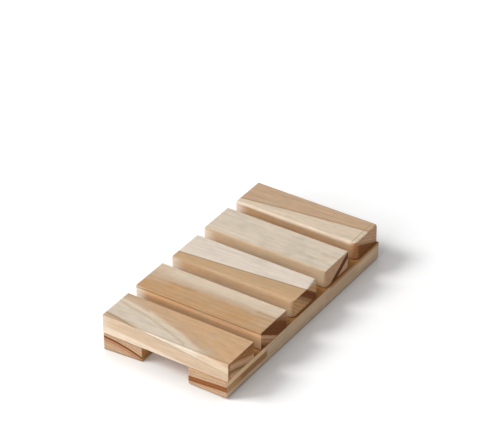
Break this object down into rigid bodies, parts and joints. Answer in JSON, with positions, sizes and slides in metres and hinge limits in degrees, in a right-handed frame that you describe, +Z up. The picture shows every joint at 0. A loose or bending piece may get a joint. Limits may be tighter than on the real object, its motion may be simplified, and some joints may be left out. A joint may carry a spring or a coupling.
{
  "type": "soap dish",
  "caption": "Free-standing slatted wooden soap dish: plain hardwood battens fixed across base rails, with open gaps that drain and air the soap.",
  "frame": {"origin": "on the table, under the middle of the dish", "axes": "+X along the base rails, +Y along the slats towards the rear rail, +Z up"},
  "size_m": [0.1352, 0.0718, 0.02],
  "materials": {
    "slat_wood": "bare sanded hardwood, cream sapwood and tan heartwood",
    "rail_wood": "bare sanded hardwood, greyish tan with brown streaks",
    "screw_steel": "plain stainless steel"
  },
  "bodies": {
    "root": {"slat_1": "slat_wood", "slat_2": "slat_wood", "slat_3": "slat_wood", "slat_4": "slat_wood", "slat_5": "slat_wood", "front_rail": "rail_wood", "rear_rail": "rail_wood", "front_rail_screws": "screw_steel", "rear_rail_screws": "screw_steel"}
  },
  "joints": []
}
